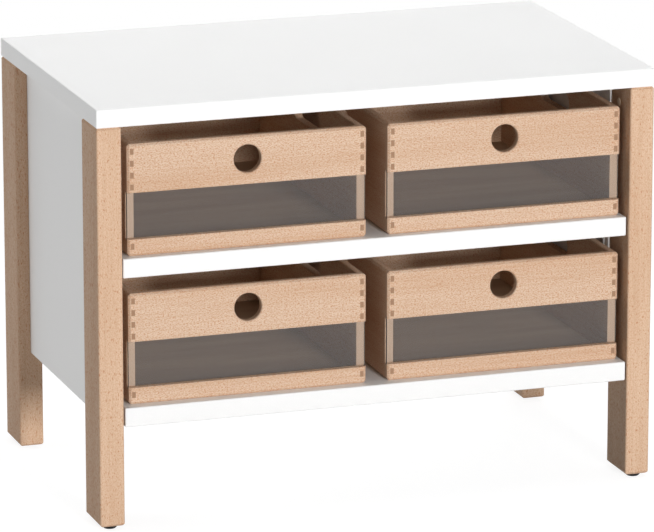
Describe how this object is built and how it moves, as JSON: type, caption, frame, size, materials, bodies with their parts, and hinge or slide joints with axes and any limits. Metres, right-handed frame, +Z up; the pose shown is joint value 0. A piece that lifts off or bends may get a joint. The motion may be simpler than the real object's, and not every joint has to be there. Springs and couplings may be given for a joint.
{
  "type": "tray storage cabinet",
  "caption": "Low cabinet on beech legs with white boards and finger-jointed beech trays that slide out on its shelves.",
  "frame": {"origin": "on the floor, under the middle of the cabinet's width and depth", "axes": "+X to the right as seen from the front, +Y from front to back, +Z up; trays slide out towards -Y"},
  "size_m": [0.78, 0.466, 0.572],
  "materials": {
    "white_board": "white melamine-faced board, satin, with a very fine grain",
    "beech": "clear-lacquered beech, satin, with short reddish flecks along the grain",
    "acrylic": "clear acrylic sheet, polished",
    "plywood": "thin beech plywood, clear-lacquered",
    "black_plastic": "moulded black plastic",
    "zinc": "die-cast zinc",
    "steel": "zinc-plated steel"
  },
  "bodies": {
    "cabinet": {"top_panel": "white_board", "left_side_panel": "white_board", "right_side_panel": "white_board", "back_panel": "white_board", "middle_shelf": "white_board", "bottom_shelf": "white_board", "front_left_leg": "beech", "front_right_leg": "beech", "rear_left_leg": "beech", "rear_right_leg": "beech", "leg_glides": "black_plastic", "side_panel_tongues": "plywood", "bottom_shelf_tongues": "plywood", "cam_housings": "zinc", "connecting_bolts": "steel", "shelf_brackets": "steel"},
    "upper_left_tray": {"upper_left_tray_front_board": "beech", "upper_left_tray_front_rail": "beech", "upper_left_tray_window_pane": "acrylic", "upper_left_tray_left_side": "beech", "upper_left_tray_right_side": "beech", "upper_left_tray_back_board": "beech", "upper_left_tray_bottom": "plywood"},
    "upper_right_tray": {"upper_right_tray_front_board": "beech", "upper_right_tray_front_rail": "beech", "upper_right_tray_window_pane": "acrylic", "upper_right_tray_left_side": "beech", "upper_right_tray_right_side": "beech", "upper_right_tray_back_board": "beech", "upper_right_tray_bottom": "plywood"},
    "lower_left_tray": {"lower_left_tray_front_board": "beech", "lower_left_tray_front_rail": "beech", "lower_left_tray_window_pane": "acrylic", "lower_left_tray_left_side": "beech", "lower_left_tray_right_side": "beech", "lower_left_tray_back_board": "beech", "lower_left_tray_bottom": "plywood"},
    "lower_right_tray": {"lower_right_tray_front_board": "beech", "lower_right_tray_front_rail": "beech", "lower_right_tray_window_pane": "acrylic", "lower_right_tray_left_side": "beech", "lower_right_tray_right_side": "beech", "lower_right_tray_back_board": "beech", "lower_right_tray_bottom": "plywood"}
  },
  "joints": [
    {"name": "upper_left_tray_slide", "type": "slide", "parent": "cabinet", "child": "upper_left_tray", "axis": [0, -1, 0], "range_m": [0, 0.22]},
    {"name": "upper_right_tray_slide", "type": "slide", "parent": "cabinet", "child": "upper_right_tray", "axis": [0, -1, 0], "range_m": [0, 0.22]},
    {"name": "lower_left_tray_slide", "type": "slide", "parent": "cabinet", "child": "lower_left_tray", "axis": [0, -1, 0], "range_m": [0, 0.22]},
    {"name": "lower_right_tray_slide", "type": "slide", "parent": "cabinet", "child": "lower_right_tray", "axis": [0, -1, 0], "range_m": [0, 0.22]}
  ]
}
